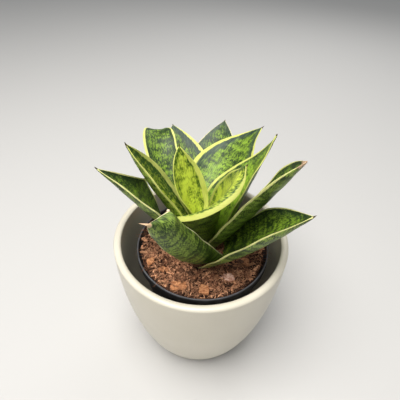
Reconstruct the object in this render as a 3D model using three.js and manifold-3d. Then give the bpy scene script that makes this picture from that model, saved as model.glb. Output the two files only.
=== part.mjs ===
// A small snake plant: a rosette of channelled leaves in a plastic nursery pot, which stands
// inside a glazed ceramic cover pot. Millimetres, +Z up. The origin is the middle of the cover
// pot's flat foot, and the front is towards -Y.
import * as THREE from 'three';
import { ParametricGeometry } from 'three/addons/geometries/ParametricGeometry.js';
import { mergeVertices } from 'three/addons/utils/BufferGeometryUtils.js';
import Module from 'manifold-3d';

const wasm = await Module();
wasm.setup();

// ---------------------------------------------------------------- driving dimensions

const CLEARANCE = 0.35; // air kept between neighbouring pieces

const coverPot = {
  height: 118.7,
  rimRadius: 67.5,
  footRadius: 43.6,
  wall: 5.6,
  floor: 8,
  lipRise: 2, // how far the rounded lip stands over its widest circle
  bellyPower: 1.87, // the two powers shape the outside between rim and foot
  heelPower: 0.75,
};

const nurseryPot = {
  rimDrop: 14.5, // its rim lies this far under the cover pot's lip
  rimGap: 8.6, // air between its rim and the cover pot's inside
  footGap: 6.2, // and between its foot and the cover pot's inside
  wall: 1.2,
  floor: 1.6,
  collarHeight: 7,
  collarStep: 1.1, // the collar stands out this far from the wall below it
  drainHoles: 6,
  drainRadius: 4,
  drainInset: 13, // from the foot's edge to the middle of a drain hole
  shiftX: 1.5, // it doesn't stand quite in the middle of the cover pot
  shiftY: 3,
};

const pottingMix = {
  rimGap: 4.2, // the mix ends this far under the nursery pot's rim
  mound: 3, // and rises towards the plant
  bump: 0.7,
};

const crown = {
  rise: 8, // the top of the stem over the edge of the mix
  depth: 26, // and how far it reaches down into it
  topRadius: 2.5,
  stepOut: 1.2, // each older leaf sits this much further out
  stepDown: 1.3, // and this much lower
  slack: 1.2, // the stem stays this far inside the feet of the leaves
};

const leafThickness = 2.3; // at the middle of the foot
const leafTipThinning = 0.45; // share of the thickness lost by the tip
const droopStart = 0.68; // the share of its length where a drooping leaf begins to bend down

const chipThickness = 2.6;
const chipBevel = 0.5;
const chipRise = 0.3; // a chip's middle lies this share of its thickness over the mix
const chipTilt = 6;

// The leaves from the youngest, in the heart, to the oldest, at the outside. Angles are in
// degrees. turn is where the leaf points, seen from above, from +X towards +Y, and sweep is how
// far it swings on its way out. rise is its slope over level ground and cup is half the angle of
// its channel in radians, both at the foot and at the tip. twist rolls it about its own length.
// widest is where its width peaks, footWidth is its width at the foot as a share of the widest,
// and taper is how blunt its end is. Two leaves have more: droop is how far the last third bends
// down, and rightShare is the width of the right side as a share of the left one.
const leaves = [
  {
    name: 'leaf_heart', turn: 144, sweep: -19, rise: [65, 77], twist: [30, -19],
    length: 77, width: 32, widest: 0.48, footWidth: 0.46, taper: 1.95, cup: [2, 0.35],
  },
  {
    name: 'leaf_left_inner', turn: 182, sweep: 1, rise: [53, 69], twist: [13, -1],
    length: 100, width: 33, widest: 0.52, footWidth: 0.46, taper: 2.1, cup: [1.25, 1.15],
  },
  {
    name: 'leaf_front_inner', turn: -71, sweep: 58, rise: [78, 66], twist: [5, 7],
    length: 95, width: 64, widest: 0.26, footWidth: 0.52, taper: 2, cup: [2.45, -0.2],
  },
  {
    name: 'leaf_right_inner', turn: 32, sweep: -29, rise: [52, 75], twist: [0, -30],
    length: 100, width: 56, widest: 0.38, footWidth: 0.6, taper: 1.45, cup: [1.6, 0.3],
  },
  {
    name: 'leaf_back_right', turn: 82, sweep: -49, rise: [44, 28], twist: [7, -22],
    length: 106, width: 59, widest: 0.5, footWidth: 0.62, taper: 1.7, cup: [1.2, 0.35],
  },
  {
    name: 'leaf_back_left', turn: 139, sweep: -43, rise: [45, 36], twist: [5, 1], droop: 95,
    length: 109, width: 28, widest: 0.66, footWidth: 0.62, taper: 2.4, cup: [0.6, 0.48],
  },
  {
    name: 'leaf_right', turn: -27, sweep: 5, rise: [60, 66], twist: [-16, -8],
    length: 115, width: 42, widest: 0.6, footWidth: 0.58, taper: 1.95, cup: [0.65, 0.95],
  },
  {
    name: 'leaf_back_middle', turn: 109, sweep: -2, rise: [35, 24], twist: [-3, -13],
    length: 107, width: 49, widest: 0.5, footWidth: 0.64, taper: 1.95, cup: [0.95, 0.15],
  },
  {
    name: 'leaf_back', turn: 88, sweep: -16, rise: [33, 36], twist: [-7, -12],
    length: 107, width: 51, widest: 0.5, footWidth: 0.62, taper: 1.95, cup: [0.65, 0.3],
  },
  {
    name: 'leaf_left', turn: 194, sweep: -10, rise: [62, 49], twist: [31, 2],
    length: 103, width: 51, widest: 0.62, footWidth: 0.58, taper: 0.8, cup: [-0.05, 1.45],
  },
  {
    name: 'leaf_front_left', turn: 256, sweep: -26, rise: [45, 70], twist: [-5, 37], length: 112,
    width: 44, widest: 0.87, footWidth: 1, taper: 1, cup: [1.02, 2.74], rightShare: 0.15,
  },
  {
    name: 'leaf_front_right', turn: -43, sweep: 17, rise: [51, 57], twist: [10, -2],
    length: 105, width: 55, widest: 0.5, footWidth: 0.74, taper: 1.75, cup: [0.8, 1.15],
  },
];

// Large bark chips that lie on the mix: where each lies round the pot and how far from its
// wall, its length and width, and the way it is turned.
const barkChips = [
  { around: -113, fromWall: 7, length: 13, width: 8.5, yaw: 5 },
  { around: -87, fromWall: 6.5, length: 9.5, width: 8, yaw: 70 },
  { around: -58, fromWall: 12.5, length: 12, width: 7, yaw: 15 },
  { around: -25, fromWall: 12, length: 11, width: 6, yaw: 50 },
  { around: -155, fromWall: 6, length: 9, width: 6, yaw: -60 },
  { around: -138, fromWall: 11, length: 8, width: 5.5, yaw: 25 },
];

// ---------------------------------------------------------------- fineness of the meshes

const POT_SIDES = 48;
const CROWN_SIDES = 24;
const BELLY_STEPS = 10;
const LIP_STEPS = 6;
const LEAF_AROUND = 14;
const LEAF_ALONG = 17;
const MIX_AROUND = 40;
const MIX_RINGS = 5;
const CHIP_SIDES = 7;

// ---------------------------------------------------------------- solids and booleans

const radians = THREE.MathUtils.degToRad;

// A closed geometry as a solid: shared vertices merged, triangles folded to a line dropped.
function toSolid(geometry) {
  const bare = geometry.clone();
  bare.deleteAttribute('normal');
  bare.deleteAttribute('uv');
  const merged = mergeVertices(bare, 1e-3);
  const corners = merged.index.array;
  const kept = [];
  for (let i = 0; i < corners.length; i += 3) {
    const [a, b, c] = [corners[i], corners[i + 1], corners[i + 2]];
    if (a !== b && b !== c && c !== a) kept.push(a, b, c);
  }
  return new wasm.Manifold(new wasm.Mesh({
    numProp: 3,
    vertProperties: merged.attributes.position.array,
    triVerts: new Uint32Array(kept),
  }));
}

// The largest body of a solid, as a geometry. A cut can leave a loose sliver, which is dropped.
function toGeometry(solid) {
  const mesh = solid.getMesh();
  const cut = new THREE.BufferGeometry();
  cut.setAttribute('position', new THREE.BufferAttribute(mesh.vertProperties.slice(), 3));
  cut.setIndex([...mesh.triVerts]);
  const whole = mergeVertices(cut, 1e-3);
  const points = whole.attributes.position;
  const corners = whole.index.array;
  const parent = Array.from({ length: points.count }, (_, i) => i);
  const find = (i) => {
    while (parent[i] !== i) i = parent[i];
    return i;
  };
  const bodies = new Map();
  for (let i = 0; i < corners.length; i += 3) {
    parent[find(corners[i + 1])] = find(corners[i]);
    parent[find(corners[i + 2])] = find(corners[i]);
  }
  const corner = (i) => new THREE.Vector3().fromBufferAttribute(points, corners[i]);
  for (let i = 0; i < corners.length; i += 3) {
    if (new Set(corners.slice(i, i + 3)).size < 3) continue;
    const root = find(corners[i]);
    if (!bodies.has(root)) bodies.set(root, { volume: 0, triangles: [] });
    const body = bodies.get(root);
    body.volume += corner(i).dot(corner(i + 1).cross(corner(i + 2))) / 6;
    body.triangles.push(corners[i], corners[i + 1], corners[i + 2]);
  }
  const largest = [...bodies.values()].sort((a, b) => b.volume - a.volume)[0];
  whole.setIndex(largest.triangles);
  whole.computeVertexNormals();
  return whole;
}

// A profile of [radius, height] points from axis to axis, spun round the Z axis.
function spun(profile, sides) {
  const points = profile.map(([r, z]) => new THREE.Vector2(r, z));
  return new THREE.LatheGeometry(points, sides).rotateX(Math.PI / 2);
}

// ---------------------------------------------------------------- the two pots

// The cover pot's outside: 0 up is its foot and 1 is its widest circle, under the lip.
function coverRadius(up) {
  const down = 1 - up;
  const swell = (1 - down ** coverPot.bellyPower) ** coverPot.heelPower;
  return coverPot.footRadius + (coverPot.rimRadius - coverPot.footRadius) * swell;
}

const coverShoulder = coverPot.height - coverPot.lipRise;
const coverInside = (z) => coverRadius(z / coverShoulder) - coverPot.wall;

function coverPotGeometry() {
  const profile = [[0, 0]];
  for (let i = 0; i <= BELLY_STEPS; i++) {
    const up = (i / BELLY_STEPS) ** 2; // short steps at the heel, where it turns fastest
    profile.push([coverRadius(up), up * coverShoulder]);
  }
  const lipMiddle = coverPot.rimRadius - coverPot.wall / 2;
  for (let i = 1; i <= LIP_STEPS; i++) {
    const angle = (i / LIP_STEPS) * Math.PI;
    profile.push([
      lipMiddle + (coverPot.wall / 2) * Math.cos(angle),
      coverShoulder + coverPot.lipRise * Math.sin(angle),
    ]);
  }
  for (let i = 1; i <= BELLY_STEPS; i++) {
    const z = coverPot.floor + (coverShoulder - coverPot.floor) * (1 - i / BELLY_STEPS) ** 1.5;
    profile.push([coverInside(z), z]);
  }
  profile.push([0, coverPot.floor]);
  return spun(profile, POT_SIDES);
}

const nurseryFoot = coverPot.floor + CLEARANCE;
const nurseryRim = coverPot.height - nurseryPot.rimDrop;
const nurseryRimRadius = coverInside(nurseryRim) - nurseryPot.rimGap;
const nurseryFootRadius = coverInside(nurseryFoot) - nurseryPot.footGap;

// The nursery pot's wall under its collar, at its outer face.
function nurseryOutside(z) {
  const up = (z - nurseryFoot) / (nurseryRim - nurseryFoot);
  const top = nurseryRimRadius - nurseryPot.collarStep;
  return nurseryFootRadius + (top - nurseryFootRadius) * up;
}

const nurseryInside = (z) => nurseryOutside(z) - nurseryPot.wall;

function nurseryPotGeometry() {
  const collarFoot = nurseryRim - nurseryPot.collarHeight;
  const insideFloor = nurseryFoot + nurseryPot.floor;
  const profile = [
    [0, nurseryFoot],
    [nurseryOutside(nurseryFoot), nurseryFoot],
    [nurseryOutside(collarFoot), collarFoot],
    [nurseryRimRadius, collarFoot],
    [nurseryRimRadius, nurseryRim],
    [nurseryInside(nurseryRim), nurseryRim],
    [nurseryInside(insideFloor), insideFloor],
    [0, insideFloor],
  ];
  let solid = toSolid(spun(profile, POT_SIDES));
  const drainCircle = nurseryFootRadius - nurseryPot.drainInset;
  for (let i = 0; i < nurseryPot.drainHoles; i++) {
    const angle = ((i + 0.5) / nurseryPot.drainHoles) * 2 * Math.PI;
    const drill = new THREE.CylinderGeometry(
      nurseryPot.drainRadius, nurseryPot.drainRadius, 4 * nurseryPot.floor, 12,
    );
    drill.rotateX(Math.PI / 2);
    drill.translate(
      drainCircle * Math.cos(angle),
      drainCircle * Math.sin(angle),
      nurseryFoot + nurseryPot.floor / 2,
    );
    solid = solid.subtract(toSolid(drill));
  }
  return toGeometry(solid).translate(nurseryPot.shiftX, nurseryPot.shiftY, 0);
}

// ---------------------------------------------------------------- the stem and its leaves

const mixEdge = nurseryRim - pottingMix.rimGap;
const crownTop = mixEdge + crown.rise + crown.stepDown * 3;

// A leaf's foot on the stem: how far out and how high, by its age.
const footRadius = (age) => crown.topRadius + crown.stepOut * age;
const footHeight = (age) => crownTop - crown.stepDown * age;

// The stem is a short blunt cone under the feet of the leaves, tapering down into the mix.
function crownGeometry(grow) {
  const oldest = leaves.length - 1;
  const bottom = mixEdge - crown.depth;
  const waist = (footHeight(oldest) + bottom) / 2;
  const profile = [
    [0, bottom - grow],
    [footRadius(oldest) * 0.45 + grow, bottom - grow],
    [footRadius(oldest) - crown.slack + grow, waist],
    [footRadius(oldest) - crown.slack + grow, footHeight(oldest) - crown.slack + grow],
    [footRadius(0) + grow, footHeight(0) - crown.slack + grow],
    [0, footHeight(0) - crown.slack + grow],
  ];
  return spun(profile, CROWN_SIDES).translate(nurseryPot.shiftX, nurseryPot.shiftY, 0);
}

// The leaf's midline as a list of frames, one for each step: where it is, the way across the
// leaf and the way out of its upper face.
function midline(leaf, age) {
  const frames = [];
  const here = new THREE.Vector3(
    nurseryPot.shiftX + footRadius(age) * Math.cos(radians(leaf.turn)),
    nurseryPot.shiftY + footRadius(age) * Math.sin(radians(leaf.turn)),
    footHeight(age),
  );
  let before = null;
  for (let i = 0; i <= LEAF_ALONG; i++) {
    const t = i / LEAF_ALONG;
    const bent = Math.max((t - droopStart) / (1 - droopStart), 0) ** 2;
    const rise = radians(THREE.MathUtils.lerp(...leaf.rise, t) - (leaf.droop ?? 0) * bent);
    const turn = radians(leaf.turn + leaf.sweep * t);
    const ahead = new THREE.Vector3(
      Math.cos(rise) * Math.cos(turn), Math.cos(rise) * Math.sin(turn), Math.sin(rise),
    );
    if (before) here.addScaledVector(before.add(ahead), leaf.length / LEAF_ALONG / 2);
    const across = new THREE.Vector3(-Math.sin(turn), Math.cos(turn), 0);
    const roll = radians(THREE.MathUtils.lerp(...leaf.twist, t));
    across.applyAxisAngle(ahead, roll);
    frames.push({ place: here.clone(), across, up: ahead.clone().cross(across) });
    before = ahead.clone();
  }
  return frames;
}

// Half the width: it swells from the foot as a quarter sine, then runs down to a point.
function halfWidth(leaf, t) {
  if (t < leaf.widest) {
    const swell = Math.sin((Math.PI / 2) * (t / leaf.widest));
    return (leaf.width / 2) * (leaf.footWidth + (1 - leaf.footWidth) * swell);
  }
  return (leaf.width / 2) * (1 - ((t - leaf.widest) / (1 - leaf.widest)) ** leaf.taper);
}

// A leaf as a closed surface. Its section is a flat ellipse bent along an arc of the channel.
// u runs round the section and v along the leaf, whose foot is closed flat by the row at v = 0.
// A grown leaf keeps the arc's radius, so it holds the leaf itself with the same air all round.
function leafGeometry(leaf, age, grow) {
  const frames = midline(leaf, age);
  const place = (u, v, target) => {
    const row = Math.max(Math.round(v * (LEAF_ALONG + 1)) - 1, 0);
    const { place: middle, across, up } = frames[row];
    const t = row / LEAF_ALONG;
    target.copy(middle);
    if (row === LEAF_ALONG) return;
    const thin = 1 - leafTipThinning * t;
    const thick = v === 0 ? 0 : (leafThickness / 2) * thin + grow;
    const cup = THREE.MathUtils.lerp(...leaf.cup, t);
    const half = halfWidth(leaf, t);
    const arcRadius = half / (Math.abs(cup) < 0.01 ? 0.01 : cup);
    const side = Math.cos(2 * Math.PI * u);
    const reach = side < 0 ? half * (leaf.rightShare ?? 1) : half;
    const angle = (side * (reach + grow)) / arcRadius;
    const lift = Math.sin(2 * Math.PI * u) * thick;
    target.addScaledVector(across, (arcRadius - lift) * Math.sin(angle));
    target.addScaledVector(up, arcRadius * (1 - Math.cos(angle)) + lift * Math.cos(angle));
  };
  return new ParametricGeometry(place, LEAF_AROUND, LEAF_ALONG + 1);
}

// Each leaf wraps round the younger ones, and is cut clear of them and of the stem.
function leafSolids() {
  const grownCrown = toSolid(crownGeometry(CLEARANCE));
  const younger = [];
  return leaves.map((leaf, age) => {
    let solid = toSolid(leafGeometry(leaf, age, 0)).subtract(grownCrown);
    for (const inner of younger) solid = solid.subtract(inner);
    younger.push(toSolid(leafGeometry(leaf, age, CLEARANCE)));
    return solid;
  });
}

// ---------------------------------------------------------------- the mix and its bark chips

// The top of the mix: a low mound with a few waves for its lumps.
function mixTop(x, y) {
  const out = Math.min(Math.hypot(x, y) / nurseryInside(mixEdge), 1);
  const waves = Math.sin(0.31 * x + 1) * Math.cos(0.27 * y) + Math.sin(0.17 * (x - y));
  return mixEdge + pottingMix.mound * (1 - out * out) + (pottingMix.bump * waves) / 2;
}

// The mix as a closed surface: v runs out along its underside and back over its top.
function mixGeometry() {
  const bottom = nurseryFoot + nurseryPot.floor + CLEARANCE;
  const rows = MIX_RINGS + 2;
  const place = (u, v, target) => {
    const row = Math.round(v * rows);
    const angle = 2 * Math.PI * u;
    const low = row < 2;
    const rim = nurseryInside(low ? bottom : mixEdge) - CLEARANCE;
    const out = low ? row * rim : (rim * (rows - row)) / MIX_RINGS;
    const [x, y] = [out * Math.cos(angle), out * Math.sin(angle)];
    target.set(x, y, low ? bottom : mixTop(x, y));
  };
  return new ParametricGeometry(place, MIX_AROUND, rows).translate(nurseryPot.shiftX, nurseryPot.shiftY, 0);
}

// A chip is a rounded slab with an uneven outline, lying on the mix.
function chipGeometry(chip, grow) {
  const outline = new THREE.Shape();
  for (let i = 0; i < CHIP_SIDES; i++) {
    const angle = (i / CHIP_SIDES) * 2 * Math.PI;
    const uneven = 1 + 0.14 * Math.sin(3 * angle + chip.around);
    const x = (chip.length / 2 - chipBevel + grow) * uneven * Math.cos(angle);
    const y = (chip.width / 2 - chipBevel + grow) * uneven * Math.sin(angle);
    if (i === 0) outline.moveTo(x, y);
    else outline.lineTo(x, y);
  }
  outline.closePath();
  const slab = new THREE.ExtrudeGeometry(outline, {
    depth: chipThickness - 2 * chipBevel + 2 * grow,
    bevelSize: chipBevel,
    bevelThickness: chipBevel,
    bevelSegments: 1,
  });
  slab.translate(0, 0, -chipThickness / 2 + chipBevel - grow);
  const reach = nurseryInside(mixEdge) - chip.fromWall;
  const x = reach * Math.cos(radians(chip.around));
  const y = reach * Math.sin(radians(chip.around));
  slab.rotateX(radians(chipTilt));
  slab.rotateZ(radians(chip.yaw));
  return slab.translate(
    x + nurseryPot.shiftX, y + nurseryPot.shiftY, mixTop(x, y) + chipThickness * chipRise,
  );
}

// ---------------------------------------------------------------- the finished plant

const ceramic = { color: 0xd8d0c0, roughness: 0.25, metalness: 0 };
const blackPlastic = { color: 0x23232a, roughness: 0.55, metalness: 0 };
const bark = { color: 0x9a6a48, roughness: 0.95, metalness: 0 };
const coir = { color: 0x6b4630, roughness: 1, metalness: 0 };
const stem = { color: 0x8a7a4c, roughness: 0.8, metalness: 0 };
const leafGreen = { color: 0x5c8a2c, roughness: 0.35, metalness: 0 };
const youngGreen = { color: 0x9cc23c, roughness: 0.35, metalness: 0 };

const plant = new THREE.Group();

function addPiece(name, geometry, look) {
  const mesh = new THREE.Mesh(geometry, new THREE.MeshStandardMaterial(look));
  mesh.name = name;
  plant.add(mesh);
}

addPiece('cover_pot', coverPotGeometry(), ceramic);
addPiece('nursery_pot', nurseryPotGeometry(), blackPlastic);
addPiece('crown', crownGeometry(0), stem);

leafSolids().forEach((solid, age) => {
  addPiece(leaves[age].name, toGeometry(solid), age < 3 ? youngGreen : leafGreen);
});

let mix = toSolid(mixGeometry()).subtract(toSolid(crownGeometry(CLEARANCE)));
leaves.forEach((leaf, age) => {
  mix = mix.subtract(toSolid(leafGeometry(leaf, age, CLEARANCE)));
});
barkChips.forEach((chip, i) => {
  mix = mix.subtract(toSolid(chipGeometry(chip, CLEARANCE)));
  addPiece(`bark_chip_${i + 1}`, chipGeometry(chip, 0), bark);
});
addPiece('potting_mix', toGeometry(mix), coir);

export default plant;
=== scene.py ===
# %% [markdown]
# # A small snake plant in a cream cover pot
# The imported solid model is the skeleton of this scene: it says where each pot, leaf and chip is,
# and how big. This lesson dresses it. Each plain solid but the stem is replaced by a fine surface
# worked out with numpy, and each surface gets a finish mixed from noise, so nothing is painted by hand.

# %% Load the solid model
import math

import bmesh
import bpy
import numpy as np
from mathutils import Matrix, Vector


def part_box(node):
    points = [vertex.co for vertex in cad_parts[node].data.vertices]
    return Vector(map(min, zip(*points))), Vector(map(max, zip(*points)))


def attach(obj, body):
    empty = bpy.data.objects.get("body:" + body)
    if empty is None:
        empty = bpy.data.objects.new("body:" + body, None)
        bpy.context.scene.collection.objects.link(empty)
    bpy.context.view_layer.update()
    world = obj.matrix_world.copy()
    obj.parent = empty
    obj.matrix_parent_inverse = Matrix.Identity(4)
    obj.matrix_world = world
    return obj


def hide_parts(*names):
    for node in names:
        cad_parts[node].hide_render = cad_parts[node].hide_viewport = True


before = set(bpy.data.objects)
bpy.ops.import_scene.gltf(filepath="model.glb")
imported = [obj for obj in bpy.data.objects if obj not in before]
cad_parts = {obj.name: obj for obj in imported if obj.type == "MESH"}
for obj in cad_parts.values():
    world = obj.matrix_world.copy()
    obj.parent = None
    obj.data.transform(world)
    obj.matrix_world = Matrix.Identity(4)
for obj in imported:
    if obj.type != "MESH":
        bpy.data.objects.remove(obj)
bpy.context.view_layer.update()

MM = 0.001

# %% [markdown]
# ## A small vocabulary for finishes
# A finish is a net of shader nodes. Written out node by node it is hard to read, so a small class
# wraps one output socket and lets ordinary arithmetic add the Math nodes: `1 - mask` reads like
# what it does. Every other kind of node comes from one method, which takes the node's type, its
# settings and the values or links of its sockets.

# %% The vocabulary
class Flow:
    """One output socket of a finish. Arithmetic on it adds Math nodes and gives a new Flow."""

    def __init__(self, finish, socket):
        self.finish = finish
        self.socket = socket

    def _math(self, operation, first, second=0.0, third=0.0):
        sockets = {0: first, 1: second, 2: third}
        return self.finish.node("ShaderNodeMath", {"operation": operation}, sockets)

    def __add__(self, other):
        return self._math("ADD", self, other)

    __radd__ = __add__

    def __sub__(self, other):
        return self._math("SUBTRACT", self, other)

    def __rsub__(self, other):
        return self._math("SUBTRACT", other, self)

    def __mul__(self, other):
        return self._math("MULTIPLY", self, other)

    __rmul__ = __mul__

    def least(self, other):
        return self._math("MINIMUM", self, other)

    def most(self, other):
        return self._math("MAXIMUM", self, other)

    def ramp(self, low, high):
        """0 below low, 1 above high and a smooth step between; low may be the larger one."""
        sockets = {"Value": self, "From Min": low, "From Max": high}
        return self.finish.node("ShaderNodeMapRange", {"interpolation_type": "SMOOTHSTEP"}, sockets)


class Finish:
    """A material that is being mixed. node() adds any node and gives its first output."""

    def __init__(self, name):
        self.material = bpy.data.materials.new(name)
        self.material.use_nodes = True
        self.tree = self.material.node_tree
        self.tree.nodes.clear()

    def node(self, kind, settings=None, sockets=None, output=0):
        made = self.tree.nodes.new(kind)
        for key, value in (settings or {}).items():
            setattr(made, key, value)
        for key, value in (sockets or {}).items():
            if isinstance(value, Flow):
                self.tree.links.new(value.socket, made.inputs[key])
            else:
                made.inputs[key].default_value = value
        return Flow(self, made.outputs[output]) if made.outputs else None

    def place(self):
        """The point on the piece, in metres, in the object's own frame."""
        return self.node("ShaderNodeTexCoord", output="Object")

    def attribute(self, name, output="Fac"):
        return self.node("ShaderNodeAttribute", {"attribute_name": name}, output=output)

    def scaled(self, vector, x, y, z):
        sockets = {0: vector, 1: (x, y, z)}
        return self.node("ShaderNodeVectorMath", {"operation": "MULTIPLY"}, sockets)

    def part(self, vector, axis):
        """One of the three numbers of a vector: X, Y or Z."""
        return self.node("ShaderNodeSeparateXYZ", {}, {0: vector}, output=axis)

    def noise(self, vector, scale, detail=2.0, roughness=0.5):
        sockets = {"Vector": vector, "Scale": scale, "Detail": detail, "Roughness": roughness}
        return self.node("ShaderNodeTexNoise", {}, sockets)

    def mix(self, factor, first, second):
        """first where factor is 0 and second where it is 1; both are colours."""
        sockets = {"Factor": factor, 6: first, 7: second}
        return self.node("ShaderNodeMix", {"data_type": "RGBA"}, sockets, output=2)

    def bump(self, height, distance, strength=1.0):
        sockets = {"Height": height, "Distance": distance, "Strength": strength}
        return self.node("ShaderNodeBump", {}, sockets)

    def surface(self, **sockets):
        """Ends the finish in a Principled shader. Socket names have _ for a space."""
        named = {key.replace("_", " "): value for key, value in sockets.items()}
        shader = self.node("ShaderNodeBsdfPrincipled", {}, named)
        self.node("ShaderNodeOutputMaterial", {}, {"Surface": shader})
        return self.material


def srgb(red, green, blue):
    """A colour given in everyday 0 to 255 steps, as the linear colour that light adds up in."""
    steps = np.array([red, green, blue]) / 255
    linear = np.where(steps <= 0.04045, steps / 12.92, ((steps + 0.055) / 1.055) ** 2.4)
    return (*map(float, linear), 1.0)


# %% [markdown]
# ## A surface from a grid of points
# Every shape below is a grid: rows of points, each row running once round the piece. A grid is
# easy to think about, because the shape is then only a formula for one point, and numpy works out
# all the points at once. Neighbouring rows are sewn with four-sided faces.

# %% Sewing a grid into a mesh
SAME_POINT = 1e-7


def sewn(name, grid, finish, attributes=None):
    """A mesh from grid[row, column, xyz]: faces join each row to the next and the last column to
    the first. A row whose points all coincide becomes one pole."""
    rows, columns = grid.shape[:2]
    row, column = np.meshgrid(np.arange(rows - 1), np.arange(columns), indexing="ij")
    after = (column + 1) % columns
    corners = [row * columns + column, row * columns + after,
               (row + 1) * columns + after, (row + 1) * columns + column]
    faces = np.stack(corners, axis=-1).reshape(-1, 4)
    mesh = bpy.data.meshes.new(name)
    mesh.from_pydata(grid.reshape(-1, 3).tolist(), [], faces.tolist())
    for key, values in (attributes or {}).items():
        kind, size = ("FLOAT_VECTOR", 3) if values.ndim == 3 else ("FLOAT", 1)
        layer = mesh.attributes.new(key, kind, "POINT")
        layer.data.foreach_set("vector" if size == 3 else "value", values.reshape(-1))
    return piece(name, mesh, finish)


def piece(name, mesh, finish, smooth=True):
    """Puts a mesh into the scene as an object at the origin that moves with the plant."""
    body = bmesh.new()
    body.from_mesh(mesh)
    bmesh.ops.remove_doubles(body, verts=body.verts, dist=SAME_POINT)
    body.to_mesh(mesh)
    body.free()
    mesh.validate()
    if smooth:
        mesh.shade_smooth()
    else:
        mesh.shade_flat()
    mesh.materials.append(finish)
    made = bpy.data.objects.new(name, mesh)
    bpy.context.scene.collection.objects.link(made)
    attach(made, "root")
    return made


def spun(profile, sides):
    """A profile of [radius, height] points turned about the Z axis: x = r cos a, y = r sin a."""
    angle = np.linspace(0, 2 * np.pi, sides, endpoint=False)
    radius, height = profile[:, :1], profile[:, 1:]
    return np.stack([radius * np.cos(angle), radius * np.sin(angle), height + 0 * angle], axis=-1)


def corners_of(node):
    low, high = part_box(node)
    return np.array(low), np.array(high)


# %% [markdown]
# ## The cover pot
# It is slip-cast stoneware with a satin cream glaze. It could be shaped from a cylinder by moving
# rings of points, but such a pot is a solid of revolution, so one profile is enough and every size
# stays a number: up the outside, over a rounded lip and down the inside to the floor. The outside
# swells fast over the heel and then stands nearly upright, which two powers describe. Its width
# and height are read from the solid model, so the fine pot can't drift away from it. A box doesn't
# show the foot, the wall and the floor, so those sizes are written out again.

# %% The cover pot's profile
pot_low, pot_high = corners_of("cover_pot")
rim_radius = (pot_high[0] - pot_low[0]) / 2
pot_height = pot_high[2]
FOOT_RADIUS = 43.6 * MM
POT_WALL = 5.6 * MM
POT_FLOOR = 8 * MM
LIP_RISE = 2 * MM
BELLY_POWER = 1.87
HEEL_POWER = 0.75
shoulder = pot_height - LIP_RISE


def outside(up):
    """Radius at a share of the height: foot + (rim - foot) (1 - (1 - up)^belly)^heel."""
    swell = (1 - (1 - up) ** BELLY_POWER) ** HEEL_POWER
    return FOOT_RADIUS + (rim_radius - FOOT_RADIUS) * swell


def cover_pot_profile(steps=70, lip_steps=22):
    rising = np.linspace(0, 1, steps) ** 2
    outer = np.stack([outside(rising), rising * shoulder], axis=1)
    round_lip = np.linspace(0, np.pi, lip_steps + 2)[1:-1]
    lip = np.stack([rim_radius - POT_WALL / 2 + POT_WALL / 2 * np.cos(round_lip),
                    shoulder + LIP_RISE * np.sin(round_lip)], axis=1)
    falling = POT_FLOOR + (shoulder - POT_FLOOR) * np.linspace(1, 0, steps) ** 1.5
    inner = np.stack([outside(falling / shoulder) - POT_WALL, falling], axis=1)
    return np.vstack([[[0, 0]], outer, lip, inner, [[0, POT_FLOOR]]])


print("cover pot:", round(2000 * rim_radius), "mm wide and", round(1000 * pot_height), "mm tall")

# %% [markdown]
# The glaze is cream and satin, not mirror bright. It could be one flat colour, but a big smooth
# wall then looks like plastic, so three noises break it up very slightly. Under the glaze the clay
# gives very faint cloudy patches and a few iron specks, and the surface has a slight orange-peel
# texture that breaks up the highlights. A thin coat on top gives the glassy part of the shine.

# %% The glaze
def glaze_finish():
    finish = Finish("cream_glaze")
    place = finish.place()
    clouds = finish.noise(place, 28, 3)
    specks = finish.noise(place, 900, 1).ramp(0.76, 0.80)
    peel = finish.noise(place, 420, 2)
    colour = finish.mix(clouds.ramp(0.3, 0.7), srgb(206, 199, 181), srgb(210, 203, 186))
    colour = finish.mix(specks * 0.25, colour, srgb(160, 140, 112))
    return finish.surface(
        Base_Color=colour,
        Roughness=0.37 + 0.03 * clouds,
        Normal=finish.bump(peel, 0.00006, 0.5),
        Coat_Weight=0.12,
        Coat_Roughness=0.25,
    )


glaze = glaze_finish()
cover_pot = sewn("cover_pot_glazed", spun(cover_pot_profile(), 192), glaze)
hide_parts("cover_pot")

# %% [markdown]
# ## The nursery pot
# The plant still grows in the thin black pot it was sold in. It is pressed from soft plastic: a
# slightly conical wall, and round the top a collar that stands out a little and stiffens the rim.
# The plain solid could stay, but the rim is seen close up and needs its rounded lip. The wall is
# made as one closed profile, outside and inside, with the drain holes left to the solid model,
# because nobody sees them between the two pots. The plastic is black, greyed by dust and by wear
# on the lip.

# %% The nursery pot
nursery_low, nursery_high = corners_of("nursery_pot")
centre = (nursery_low + nursery_high) / 2
nursery_radius = (nursery_high[0] - nursery_low[0]) / 2
nursery_rim = nursery_high[2]
nursery_foot = nursery_low[2]
NURSERY_FOOT_RADIUS = 37 * MM
COLLAR_STEP = 1.1 * MM
COLLAR_HEIGHT = 7 * MM
NURSERY_WALL = 1.2 * MM
NURSERY_FLOOR = 1.6 * MM


def nursery_outside(height):
    """The wall under the collar, a straight line from the foot's radius to the rim's."""
    up = (height - nursery_foot) / (nursery_rim - nursery_foot)
    return NURSERY_FOOT_RADIUS + (nursery_radius - COLLAR_STEP - NURSERY_FOOT_RADIUS) * up


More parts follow.
